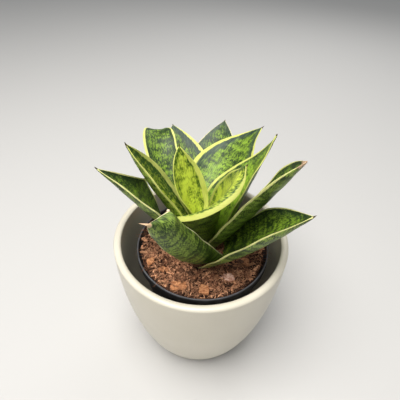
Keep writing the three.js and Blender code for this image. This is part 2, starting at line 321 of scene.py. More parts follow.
def nursery_profile():
    collar_foot = nursery_rim - COLLAR_HEIGHT
    edge = 0.5 * MM
    floor = nursery_foot + NURSERY_FLOOR
    wall = np.linspace(nursery_foot + edge, collar_foot, 24)
    round_lip = np.linspace(0, np.pi, 10)
    lip_half = NURSERY_WALL / 2
    collar_inside = nursery_radius - NURSERY_WALL
    points = [[0, nursery_foot], [nursery_outside(nursery_foot) - edge, nursery_foot]]
    points += [[nursery_outside(z), z] for z in wall]
    points += [[nursery_radius - edge, collar_foot], [nursery_radius, collar_foot + edge]]
    points += [[nursery_radius - lip_half + lip_half * math.cos(a),
                nursery_rim - lip_half + lip_half * math.sin(a)] for a in round_lip]
    points += [[collar_inside, collar_foot + NURSERY_WALL]]
    points += [[nursery_outside(z) - NURSERY_WALL, z] for z in wall[::-1] if z > floor]
    points += [[nursery_outside(floor) - NURSERY_WALL, floor], [0, floor]]
    return np.array(points)


def plastic_finish():
    finish = Finish("black_nursery_plastic")
    place = finish.place()
    dust = finish.noise(place, 160, 4, 0.7)
    scuffs = finish.noise(finish.scaled(place, 60, 60, 700), 1.0, 3)
    height = finish.part(place, "Z")
    lip = height.ramp(nursery_rim - 2.2 * MM, nursery_rim - 0.2 * MM)
    dusty = (dust.ramp(0.35, 0.75) * 0.3 + 0.4 * lip).least(1.0)
    colour = finish.mix(dusty, srgb(22, 22, 25), srgb(104, 104, 108))
    return finish.surface(
        Base_Color=colour,
        Roughness=0.5 + 0.2 * dust,
        Normal=finish.bump(scuffs, 0.0001, 0.5),
    )


plastic = plastic_finish()
nursery_grid = spun(nursery_profile(), 144) + [centre[0], centre[1], 0]
nursery_pot = sewn("nursery_pot_wall", nursery_grid, plastic)
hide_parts("nursery_pot")
print("nursery pot:", round(2000 * nursery_radius), "mm wide")

# %% [markdown]
# ## The potting mix
# It is a loose, rough mix of coir fibre, crumbs of bark and a few large flakes. A single bumpy
# surface never looks loose, so it is built the way it lies: a lumpy mound first, then thousands of
# small crumbs and fibres scattered over it as real geometry. Each crumb has only a few faces. All
# random draws come from one seeded generator, so the mix is the same each time.

# %% The mound
rng = np.random.default_rng(7)
mix_low, mix_high = corners_of("potting_mix")
MIX_GAP = 4.2 * MM
MOUND = 3 * MM
MOUND_DEPTH = 12 * MM
WAVES = 14
WAVE_TURN = 2.4
LONGEST_WAVE = 12 * MM
WAVE_SHRINK = 0.8
WAVE_STEEPNESS = 0.035
mix_edge = nursery_rim - MIX_GAP
mix_radius = (mix_high[0] - mix_low[0]) / 2


def lumps(x, y):
    """Soft lumps: a sum of sine waves of falling length, in the directions of a turning fan."""
    total = np.zeros_like(x)
    for i in range(WAVES):
        turn = WAVE_TURN * i
        size = LONGEST_WAVE * WAVE_SHRINK ** i
        wave = (x * math.cos(turn) + y * math.sin(turn)) * 2 * math.pi / size
        total += size * WAVE_STEEPNESS * np.sin(wave + 1.7 * i)
    return total


def mix_top(x, y):
    """Height of the mix: its edge, a low mound that falls off with the square of the radius, and
    lumps. x and y are measured from the middle of the nursery pot."""
    share = np.minimum(np.hypot(x, y) / mix_radius, 1)
    return mix_edge + MOUND * (1 - share ** 2) + lumps(x, y)


def mound_grid(rings=90, sides=220):
    angle = np.linspace(0, 2 * np.pi, sides, endpoint=False)
    radius = np.concatenate([[0], np.linspace(mix_radius, 0, rings)])[:, None]
    x, y = radius * np.cos(angle), radius * np.sin(angle)
    grid = np.stack([x, y, mix_top(x, y)], axis=-1)
    grid[0] = [0, 0, mix_edge - MOUND_DEPTH]
    under = spun(np.array([[mix_radius * 0.96, mix_edge - MOUND_DEPTH]]), sides)
    grid = np.concatenate([grid[:1], under, grid[1:]])
    return grid + [centre[0], centre[1], 0]


def coir_finish(name, dark, light, fleck):
    finish = Finish(name)
    place = finish.place()
    tone = finish.attribute("tone")
    grain = finish.noise(place, 1500, 3, 0.7)
    patches = finish.noise(place, 260, 3)
    colour = finish.mix((tone * 0.75 + 0.4 * grain - 0.05).most(0).least(1), dark, light)
    colour = finish.mix(patches.ramp(0.62, 0.72) * 0.5, colour, fleck)
    return finish.surface(
        Base_Color=colour,
        Roughness=0.8 + 0.15 * grain,
        Specular_IOR_Level=0.2,
        Normal=finish.bump(grain, 0.0004, 0.8),
    )


# The mound's dark brown is painted shade for the gaps between the crumbs that lie on it: a dark finish
# and one low tone for every point.
coir_and_gap_shade = coir_finish("coir_mix_and_gap_shade", srgb(30, 20, 15), srgb(112, 72, 52), srgb(70, 42, 30))
mound = mound_grid()
gap_shade_tones = np.full(mound.shape[:2], 0.15)
potting_mix = sewn("potting_mix_mound", mound, coir_and_gap_shade, {"tone": gap_shade_tones})
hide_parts("potting_mix")
print("mound:", round(2000 * mix_radius), "mm wide,", round(1000 * MOUND, 1), "mm higher in the middle")

# %% [markdown]
# A crumb is a box whose eight corners are pushed about. Each could be an object of its own, but
# thousands of objects are slow and one mesh is not. All crumbs are worked out together: the
# corners of one box, times each crumb's own length, width and thickness, turned by its own yaw and
# tilt, and laid on the mound at its own spot. A number for each crumb, its tone, lets the finish
# make one crumb dark and the next one light. The spots over a large flake stay empty, so that the
# flakes lie open on the mix.

# %% Bark crumbs
BOX_CORNERS = np.array([[x, y, z] for x in (-1, 1) for y in (-1, 1) for z in (-1, 1)]) / 2
BOX_FACES = np.array([[0, 1, 3, 2], [4, 6, 7, 5], [0, 4, 5, 1],
                      [2, 3, 7, 6], [0, 2, 6, 4], [1, 5, 7, 3]])
FLAKES = 6
FLAKE_CLEARING = 0.6
CRUMB_SKEW = 0.16


def turned(points, yaw, tilt, lean):
    """Points [piece, corner, xyz] turned by each piece's lean about X, tilt about Y, yaw about Z."""
    for angle, (a, b) in ((lean, (1, 2)), (tilt, (2, 0)), (yaw, (0, 1))):
        cosine, sine = np.cos(angle)[:, None], np.sin(angle)[:, None]
        first = points[..., a] * cosine - points[..., b] * sine
        second = points[..., a] * sine + points[..., b] * cosine
        points = points.copy()
        points[..., a], points[..., b] = first, second
    return points


def scattered(count, reach):
    """Even spots over a disc of that radius, x and y = reach sqrt(u) at a random angle, less those
    that would land on a large flake."""
    spare = 2 * count
    distance, angle = reach * np.sqrt(rng.uniform(0, 1, spare)), rng.uniform(0, 2 * np.pi, spare)
    x, y = distance * np.cos(angle), distance * np.sin(angle)
    clear = np.ones(spare, bool)
    for number in range(1, FLAKES + 1):
        low, high = corners_of(f"bark_chip_{number}")
        middle, half = (low + high) / 2, (high - low) / 2
        off_x = (x + centre[0] - middle[0]) / half[0]
        off_y = (y + centre[1] - middle[1]) / half[1]
        clear &= off_x ** 2 + off_y ** 2 > FLAKE_CLEARING
    return x[clear][:count], y[clear][:count]


def many(name, points, face_groups, finish, tone, smooth=False):
    """One mesh of many small pieces: points[piece, corner, xyz], and the faces of one piece in
    groups, each an array of faces with the same number of sides."""
    count, corners = points.shape[:2]
    first_corner = (np.arange(count) * corners)[:, None, None]
    faces = []
    for group in face_groups:
        faces += (group[None] + first_corner).reshape(-1, group.shape[1]).tolist()
    mesh = bpy.data.meshes.new(name)
    mesh.from_pydata(points.reshape(-1, 3).tolist(), [], faces)
    layer = mesh.attributes.new("tone", "FLOAT", "POINT")
    layer.data.foreach_set("value", np.repeat(tone, corners))
    print(name, "is one mesh of", count, "small pieces")
    return piece(name, mesh, finish, smooth)


def crumbs(name, count, length, width, thickness, finish, tone_range):
    """Boxes with skewed corners, laid on the mound. Sizes are ranges in millimetres, and the tones
    lie closer to the low end of their range, so there are more dark crumbs than light ones."""
    size = np.stack([rng.uniform(*length, count), rng.uniform(*width, count),
                     rng.uniform(*thickness, count)], axis=1) * MM
    corners = (BOX_CORNERS + rng.uniform(-CRUMB_SKEW, CRUMB_SKEW, (count, 8, 3))) * size[:, None]
    corners = turned(corners, rng.uniform(0, 2 * np.pi, count), rng.normal(0, 0.4, count),
                     rng.normal(0, 0.5, count))
    x, y = scattered(count, mix_radius - 1.5 * MM)
    height = mix_top(x, y) + size[:, 2] * rng.uniform(0, 1.3, count)
    spots = np.stack([x + centre[0], y + centre[1], height], axis=1)
    low, high = tone_range
    tone = low + (high - low) * rng.uniform(0, 1, count) ** 1.4
    made = many(name, corners + spots[:, None], [BOX_FACES], finish, tone)
    return made


bark = coir_finish("bark_crumb", srgb(40, 22, 15), srgb(222, 164, 124), srgb(150, 88, 62))
crumbs("bark_crumbs_small", 4200, (1.6, 5.5), (0.4, 1.1), (0.3, 0.9), bark, (-0.4, 1.5))
crumbs("bark_crumbs_large", 300, (3.5, 7.5), (1.2, 2.6), (0.6, 1.3), bark, (-0.2, 1.5))

# %% [markdown]
# Coir is the fibre of the coconut husk: wiry strands that curl over each other. Hair could be
# grown on the mound for it, but plain tubes are real geometry that any program can read. A strand
# is a thin tube along a curved path. The path is a circle arc that wanders up and down a little,
# and the tube is three-sided, which is enough for something a fifth of a millimetre thick. A few
# whiskers stick out over the rim on the left and the right, as they do when a root ball has been
# pushed into its pot.

# %% Coir fibres
def strands(name, starts, heading, length, curl, lift, radius, finish, steps=8):
    """Tubes of three sides along arcs: the heading turns by curl over the length, and the height
    follows half a sine wave of size lift. Everything is an array over the strands."""
    count = len(starts)
    along = np.linspace(0, 1, steps)[None]
    way = heading[:, None] + curl[:, None] * along
    step = length[:, None] / (steps - 1)
    x = np.cumsum(np.cos(way) * step, axis=1) - np.cos(way[:, :1]) * step
    y = np.cumsum(np.sin(way) * step, axis=1) - np.sin(way[:, :1]) * step
    z = lift[:, None] * np.sin(np.pi * along)
    path = starts[:, None] + np.stack([x, y, z], axis=-1)
    side = np.stack([-np.sin(way), np.cos(way), 0 * way], axis=-1)
    thin = (radius[:, None] * (1 - 0.6 * along))[..., None, None]
    turn = np.array([0, 2, 4]) * np.pi / 3
    up = np.array([0, 0, 1.0])
    ring = side[:, :, None] * np.cos(turn)[:, None] + up * np.sin(turn)[:, None]
    points = (path[:, :, None] + thin * ring).reshape(count, -1, 3)
    ring_start = np.arange(steps - 1)[:, None] * 3
    this, after = np.arange(3), (np.arange(3) + 1) % 3
    sides = np.stack([ring_start + this, ring_start + after,
                      ring_start + 3 + after, ring_start + 3 + this], axis=-1).reshape(-1, 4)
    last = 3 * steps - 1
    ends = np.array([[2, 1, 0], [last - 2, last - 1, last]])
    tone = rng.uniform(0.1, 1, count)
    made = many(name, points, [sides, ends], finish, tone, smooth=True)
    return made


fibre = coir_finish("coir_fibre", srgb(62, 32, 22), srgb(206, 146, 110), srgb(130, 70, 48))
FIBRES = 1900
fibre_x, fibre_y = scattered(FIBRES, mix_radius - 3 * MM)
fibre_start = np.stack([fibre_x + centre[0], fibre_y + centre[1],
                        mix_top(fibre_x, fibre_y) + 1.1 * MM], axis=1)
strands("coir_fibres", fibre_start, rng.uniform(0, 2 * np.pi, FIBRES),
        rng.uniform(4, 11, FIBRES) * MM, rng.normal(0, 1.2, FIBRES),
        rng.uniform(0.2, 1.8, FIBRES) * MM, rng.uniform(0.1, 0.26, FIBRES) * MM, fibre)
WHISKERS = 34
whisker_side = rng.choice([-1.0, 1.0], WHISKERS)
whisker_angle = np.where(whisker_side < 0, np.pi, 0) + rng.normal(0, 0.4, WHISKERS)
whisker_out = mix_radius - 2 * MM
whisker_x, whisker_y = whisker_out * np.cos(whisker_angle), whisker_out * np.sin(whisker_angle)
whisker_start = np.stack([whisker_x + centre[0], whisker_y + centre[1],
                          nursery_rim + rng.uniform(-2.5, 0.3, WHISKERS) * MM], axis=1)
strands("coir_whiskers", whisker_start, whisker_angle + rng.normal(0, 0.7, WHISKERS),
        rng.uniform(5, 10, WHISKERS) * MM, rng.normal(0, 1.0, WHISKERS),
        rng.uniform(1.0, 3.5, WHISKERS) * MM, rng.uniform(0.08, 0.15, WHISKERS) * MM, fibre)

# %% [markdown]
# The six large flakes of bark are pieces of their own in the solid model. They could be sculpted
# one by one, but one formula with a seed gives six different ones. Each fine flake fills the same
# box: a flattened ball whose outline is pulled into a slab with corners and turned a little, with
# the layered, broken faces that split bark has. Most are orange-brown inside bark and one is paler
# and pinker.

# %% Bark flakes
def flake_grid(low, high, seed, rings=28, sides=56):
    """A superellipsoid: x = sign(c)|c|^p of the longitude, the same with the sine for y, both
    shrunk towards the poles by |cos latitude|^q, then turned by a yaw and stretched to fill the
    box. A few waves break its outline and faces."""
    middle, half = (low + high) / 2, (high - low) / 2
    latitude = np.linspace(-np.pi / 2, np.pi / 2, rings)[:, None]
    longitude = np.linspace(0, 2 * np.pi, sides, endpoint=False)[None]

    def squared(value, power):
        return np.sign(value) * np.abs(value) ** power

    ragged = 1 + 0.06 * np.sin(3 * longitude + seed) + 0.04 * np.sin(11 * longitude + 2 * seed)
    reach = squared(np.cos(latitude), 0.25) * ragged
    layers = 0.16 * np.sin(9 * latitude + 3 * np.sin(2 * longitude + seed))
    long_way, short_way = squared(np.cos(longitude), 0.5), 0.7 * squared(np.sin(longitude), 0.5)
    yaw = 0.5 * np.sin(2.3 * seed)
    x = reach * (long_way * np.cos(yaw) - short_way * np.sin(yaw))
    y = reach * (long_way * np.sin(yaw) + short_way * np.cos(yaw))
    x, y = half[0] * x / np.abs(x).max(), half[1] * y / np.abs(y).max()
    z = half[2] * (0.75 * squared(np.sin(latitude), 0.5) + 0 * longitude)
    z = z + half[2] * layers * np.cos(latitude)
    return np.stack([x, y, z], axis=-1) + middle


def flake_finish(name, dark, light):
    finish = Finish(name)
    place = finish.place()
    layers = finish.noise(finish.scaled(place, 500, 900, 2600), 1.0, 4, 0.65)
    patches = finish.noise(place, 420, 2)
    colour = finish.mix(layers.ramp(0.3, 0.7), dark, light)
    colour = finish.mix(patches.ramp(0.6, 0.75) * 0.6, colour, dark)
    return finish.surface(
        Base_Color=colour,
        Roughness=0.75 + 0.2 * layers,
        Specular_IOR_Level=0.25,
        Normal=finish.bump(layers, 0.0006, 0.9),
    )


orange_bark = flake_finish("orange_bark", srgb(138, 82, 50), srgb(212, 152, 106))
pink_bark = flake_finish("pale_bark", srgb(184, 124, 100), srgb(244, 208, 186))
PALE_FLAKE = 3
for number in range(1, FLAKES + 1):
    low, high = corners_of(f"bark_chip_{number}")
    look = pink_bark if number == PALE_FLAKE else orange_bark
    flake = sewn(f"bark_flake_{number}", flake_grid(low, high, 1.3 * number), look)
    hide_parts(f"bark_chip_{number}")
    print("flake", number, "is", round(1000 * (high - low).max(), 1), "mm across")

# %% [markdown]
# ## The leaves
# Twelve thick leaves grow in a spiral from one short stem. The youngest stands in the heart and
# each older one sits a step further out and lower. A leaf is a channel: its cross-section is a
# flat ellipse bent along an arc, and its midline rises from the stem and swings as it goes. It
# could be a flat sheet bent by hand, but then no two views would agree with the solid leaf. The
# few numbers per leaf that shaped the solid model shape the fine surface too, apart from two
# blunter ends and a wider edge: where it points and how far it swings, its slope, its twist, its
# length and width, and how deep its channel is.

# %% The leaves' numbers
# Angles are in degrees from +X towards +Y, cup is half the channel's angle in radians, lengths
# are millimetres. Pairs run from foot to tip. margins is how wide the yellow edge is on the left
# and on the right, looking out along the leaf. bright, band and pale_tip are shares from 0 to 1:
# how light the green is, how strong the blue band with its painted sheen is, how pale the dried tip
# is. cream is how pale
# the margin is, and below 0 how deep its yellow is. spine and dry are how long the spine is and
# how much of the tip has dried. Some leaves have more: droop bends the last third down, right_share
# is how wide the right half is against the left, flare bends the left and right edges back, and
# spine_way, spine_radius and knob shape a dried corner.
LEAVES = [
    dict(name="leaf_heart", turn=144, sweep=-19, rise=(65, 77), twist=(30, -19), length=77,
         width=32, widest=0.48, foot=0.46, taper=1.95, cup=(2, 0.35),
         margins=(1.5, 4.2), bright=1.0, band=0.1, cream=0.0, spine=2, dry=0),
    dict(name="leaf_left_inner", turn=182, sweep=1, rise=(53, 69), twist=(13, -1), length=100,
         width=33, widest=0.52, foot=0.46, taper=2.1, cup=(1.25, 1.15),
         margins=(1.6, 3.0), bright=0.28, band=0.3, cream=0.15, spine=1.5, dry=2),
    dict(name="leaf_front_inner", turn=-71, sweep=58, rise=(78, 66), twist=(5, 7), length=95,
         width=64, widest=0.26, foot=0.52, taper=2, cup=(2.45, -0.2),
         margins=(2.2, 4.8), bright=1.0, band=0.15, cream=-0.4, spine=1, dry=0,
         right_share=1.16, flare=(0, 1.9)),
    dict(name="leaf_right_inner", turn=32, sweep=-29, rise=(52, 75), twist=(0, -30), length=100,
         width=56, widest=0.38, foot=0.6, taper=1.45, cup=(1.6, 0.3),
         margins=(2.0, 3.2), bright=0.9, band=0.3, cream=0.05, spine=1, dry=0, flare=(0, 0.6)),
    dict(name="leaf_back_right", turn=82, sweep=-49, rise=(44, 28), twist=(7, -22), length=106,
         width=59, widest=0.5, foot=0.62, taper=1.7, cup=(1.2, 0.35),
         margins=(3.4, 3.6), bright=0.43, band=0.9, cream=0.0, spine=2.5, dry=1),
    dict(name="leaf_back_left", turn=139, sweep=-43, rise=(45, 36), twist=(5, 1), length=109,
         width=28, widest=0.66, foot=0.62, taper=5, cup=(0.6, 0.48), droop=95,
         margins=(2.0, 1.6), bright=0.25, band=0.1, cream=0.15, spine=1, dry=0),
    dict(name="leaf_right", turn=-27, sweep=5, rise=(60, 66), twist=(-16, -8), length=115,
         width=42, widest=0.6, foot=0.58, taper=2.7, cup=(0.65, 0.95),
         margins=(1.2, 1.8), bright=0.3, band=0.2, cream=0.35, spine=0.5, dry=4,
         pale_tip=0.8),
    dict(name="leaf_back_middle", turn=109, sweep=-2, rise=(35, 24), twist=(-3, -13), length=107,
         width=49, widest=0.5, foot=0.64, taper=1.95, cup=(0.95, 0.15),
         margins=(2.0, 3.4), bright=0.15, band=1.0, cream=0.1, spine=1, dry=0),
    dict(name="leaf_back", turn=88, sweep=-16, rise=(33, 36), twist=(-7, -12), length=107,
         width=51, widest=0.5, foot=0.62, taper=1.95, cup=(0.65, 0.3),
         margins=(0.9, 0.9), bright=0.14, band=0.6, cream=0.8, spine=1, dry=1),
    dict(name="leaf_left", turn=194, sweep=-10, rise=(62, 49), twist=(31, 2), length=103,
         width=51, widest=0.62, foot=0.58, taper=0.8, cup=(-0.05, 1.45),
         margins=(1.5, 1.5), bright=0.16, band=0.2, cream=0.45, spine=1.5, dry=1),
    dict(name="leaf_front_left", turn=256, sweep=-26, rise=(45, 70), twist=(-5, 37), length=112,
         width=44, widest=0.87, foot=1, taper=1, cup=(1.02, 2.74), right_share=0.15,
         margins=(0.9, 0.9), bright=0.0, band=0.2, cream=0.9, spine=4.5, dry=2,
         spine_way=(185, 14), spine_radius=0.65, pale_tip=1, knob=1),
    dict(name="leaf_front_right", turn=-43, sweep=17, rise=(51, 57), twist=(10, -2), length=105,
         width=55, widest=0.5, foot=0.74, taper=1.75, cup=(0.8, 1.15),
         margins=(1.1, 1.4), bright=0.2, band=0.2, cream=0.4, spine=2, dry=0),
]
CROWN_RISE = 8 * MM
CROWN_TOP_RADIUS = 2.5 * MM
STEP_OUT = 1.2 * MM
STEP_DOWN = 1.3 * MM
LEAF_THICKNESS = 2.3 * MM
TIP_THINNING = 0.45
crown_top = mix_edge + CROWN_RISE + 3 * STEP_DOWN

# %% [markdown]
# The midline is walked with small steps: at each share t of the length the leaf has a heading
# (turn + sweep t) and a slope (between rise at the foot and at the tip), and half a step along the
# old direction and half along the new one lead to the next point. Across the leaf lies the level
# direction at right angles, rolled by the twist. The outline swells as a quarter sine from the
# foot and runs down to the tip with a power. Beyond the tip a thin spine goes on straight. A leaf
# with a droop bends down over its last third, with the square of the way along it.

# %% The midline and the outline
ALONG = 120
SPINE_STEPS = 6
AROUND = 72
SPINE_RADIUS = 0.45 * MM
DROOP_START = 0.68


def between(pair, share):
    return pair[0] + (pair[1] - pair[0]) * share


def midline(leaf, age):
    """Places, directions across and directions up for ALONG steps of the blade and for the
    steps of the spine after it."""
    share = np.linspace(0, 1, ALONG)
    bent = np.clip((share - DROOP_START) / (1 - DROOP_START), 0, 1) ** 2
    slope = np.radians(between(leaf["rise"], share) - leaf.get("droop", 0) * bent)
    heading = np.radians(leaf["turn"] + leaf["sweep"] * share)
    ahead = np.stack([np.cos(slope) * np.cos(heading), np.cos(slope) * np.sin(heading),
                      np.sin(slope)], axis=1)
    step = leaf["length"] * MM / (ALONG - 1)
    walked = np.vstack([np.zeros(3), np.cumsum((ahead[1:] + ahead[:-1]) / 2 * step, axis=0)])
    foot = CROWN_TOP_RADIUS + STEP_OUT * age
    start = [centre[0] + foot * np.cos(heading[0]), centre[1] + foot * np.sin(heading[0]),
             crown_top - STEP_DOWN * age]
    level = np.stack([-np.sin(heading), np.cos(heading), 0 * heading], axis=1)
    upright = np.cross(ahead, level)
    roll = np.radians(between(leaf["twist"], share))[:, None]
    across = level * np.cos(roll) + upright * np.sin(roll)
    up = np.cross(ahead, across)
    spine_way = ahead[-1]
    if "spine_way" in leaf:
        turn, rise = np.radians(leaf["spine_way"])
        level_share = np.cos(rise)
        spine_way = np.array([level_share * np.cos(turn), level_share * np.sin(turn), np.sin(rise)])
    spine = np.linspace(0, leaf["spine"] * MM, SPINE_STEPS + 1)[1:, None] * spine_way
    places = np.vstack([start + walked, start + walked[-1] + spine])
    repeat = [1] * (ALONG - 1) + [1 + SPINE_STEPS]
    return places, np.repeat(across, repeat, axis=0), np.repeat(up, repeat, axis=0)


def half_width(leaf, share):
    """width/2 (foot + (1 - foot) sin(90 deg t/widest)) up to the widest place, and
    width/2 (1 - ((t - widest)/(1 - widest))^taper) after it."""
    widest, foot = leaf["widest"], leaf["foot"]
    swell = foot + (1 - foot) * np.sin(np.pi / 2 * np.minimum(share / widest, 1))
    narrow = 1 - np.clip((share - widest) / (1 - widest), 0, 1) ** leaf["taper"]
    return leaf["width"] * MM / 2 * np.where(share < widest, swell, narrow)


# %% [markdown]
# The surface goes round the cross-section for each place on the midline. With s from -1 to 1
# across the blade, the channel bends it along an arc of angle cup * s, and the ellipse adds its
# thickness to either side. Where a leaf flares, its edge bends back out of the channel over the
# last few millimetres, which is what makes a broad margin face up. Real leaves are never this
# exact: their edges wave a little and the blade has shallow ripples, which two sine terms give.
# Each point also keeps numbers for the finish: where it lies on the blade, how deep inside the
# yellow margin it is, which face it is on, and the leaf's own colours.

# %% The leaf surface
SECTION_STEPS = 200
FLARE_WIDTH = 7 * MM
FULL_FLARE_HALF = 12 * MM
EDGE_WAVE = 0.42 * MM
EDGE_WAVE_LENGTH = 4.6
RIPPLE = 0.12 * MM
RIPPLE_LENGTH = 3.1
PATTERN_STEP = 17.3
BAND_WIDTH = 9


def cross_section(leaf, half, cup, side):
    """Middle line of the channel: its tilt is a(s) = cup s, less a flare where the edge bends
    back, and its points are the running sums of half cos(a) and half sin(a) out from s = 0."""
    s = np.linspace(-1, 1, 2 * SECTION_STEPS + 1)[None]
    reach = np.where(s < 0, leaf.get("right_share", 1), 1)
    edge = np.clip(1 - (1 - np.abs(s)) * half * reach / FLARE_WIDTH, 0, 1)
    left, right = leaf.get("flare", (0, 0))
    bend_back = np.where(s < 0, right, left) * edge ** 0.7 * np.minimum(1, half / FULL_FLARE_HALF)
    tilt = cup * s * reach - np.sign(s) * bend_back
    step = half * reach / SECTION_STEPS
    sums = [np.cumsum(part, axis=1) for part in (step * np.cos(tilt), step * np.sin(tilt))]
    out, rise = [total - total[:, SECTION_STEPS:SECTION_STEPS + 1] for total in sums]
    where = (side[0] + 1) * SECTION_STEPS
    below = np.minimum(where.astype(int), 2 * SECTION_STEPS - 1)
    rest = where - below

    def sampled(values):
        return values[:, below] * (1 - rest) + values[:, below + 1] * rest

    return sampled(out), sampled(rise), sampled(tilt)


def leaf_surface(leaf, age):
    """p = place + across (x - l sin a) + up (y + l cos a), where x, y and a are the middle line
    of the cross-section, and l = thickness/2 * sin of the way round it."""
    places, across, up = midline(leaf, age)
    share = np.concatenate([np.linspace(0, 1, ALONG), np.ones(SPINE_STEPS)])[:, None]
    way = np.linspace(0, 2 * np.pi, AROUND, endpoint=False)[None]
    side = np.cos(way) + 0 * share
    spine_left = np.concatenate([np.ones(ALONG), np.linspace(1, 0, SPINE_STEPS + 1)[1:]])[:, None]
    spine_radius = leaf.get("spine_radius", SPINE_RADIUS / MM) * MM * spine_left
    half = np.maximum(half_width(leaf, share), spine_radius)
    thick = np.maximum(LEAF_THICKNESS / 2 * (1 - TIP_THINNING * share), spine_radius)
    thick = np.minimum(thick, half * 1.1 + 0 * thick)
    thick[0] = 0
    cup = between(leaf["cup"], share)
    cup = np.where(np.abs(cup) < 0.01, 0.01, cup)
    length = leaf["length"]
    edge_wave = np.sin(share * length / EDGE_WAVE_LENGTH + 2.1 * age + 1.5 * np.sign(side))
    ripple = np.sin(share * length / RIPPLE_LENGTH + 5 * side + age)
    calm = np.minimum(1, half / (4 * MM)) * np.minimum(1, share / 0.3)
    wave = (EDGE_WAVE * edge_wave * side ** 4 + RIPPLE * ripple * (1 - side ** 2)) * calm
    reach = np.where(side < 0, leaf.get("right_share", 1), 1)
    lift = np.sin(way) * thick + wave
    out, rise, tilt = cross_section(leaf, half, cup, side)
    along_across = out - lift * np.sin(tilt)
    along_up = rise + lift * np.cos(tilt)
    grid = (places[:, None] + across[:, None] * along_across[..., None]
            + up[:, None] * along_up[..., None])

    left, right = leaf["margins"]
    margin = np.where(side > 0, left, right) * (0.4 + 0.6 * half / half.max())
    margin = margin * np.minimum(1, 0.25 + (1 - share) * 5)
    from_edge = (1 - np.abs(side)) * half * reach / MM
    from_tip = (1 - share) * length
    numbers = {
        "rim": from_edge / np.maximum(margin, 0.3),
        "band": (from_edge - margin) / BAND_WIDTH,
        "face": np.sin(way) + 0 * share,
        "bright": leaf["bright"] * np.clip(1.25 - 0.75 * share, 0, 1) + 0 * side,
        "blue": leaf["band"] * np.clip(0.25 + 1.2 * share, 0, 1) + 0 * side,
        "cream": leaf["cream"] + 0 * share * side,
        "dry": np.clip(1.6 - from_tip / max(leaf["dry"], 0.8), 0, 1) + 0 * side,
        "pale_tip": leaf.get("pale_tip", 0) + 0 * share * side,
        "pale_foot": np.clip(1 - share * length / 26, 0, 1) + 0 * side,
    }
    own_pattern = PATTERN_STEP * (age + 1) + 0 * share * side
    lie = np.stack([side * reach * half / MM, share * length + 0 * side, own_pattern], axis=-1)
    return grid, {key: value.astype(float) for key, value in numbers.items()} | {"lie": lie}


# %% [markdown]
# The leaf finish is built up the way the real leaf is. It could be painted on each leaf, but mixed
# from noise it has no seams, and each leaf only needs a few numbers of its own. Under everything
# lies a mottled green: a light green broken by crosswise bands, jagged because each thin
# lengthwise strip of the leaf is shifted a little against its neighbour. Over it, beside the
# margin, lies a blue-green band with a silvery bloom that is partly painted sheen, a sky reflection
# painted on the upper face. Then come the yellow margins with ragged
# inner borders, and at last the dark or dried tip. The underside has the same pattern in duller
# greens, made lighter by painted fill light where it lies in shade. The three youngest leaves get
# the same finish with lighter greens.

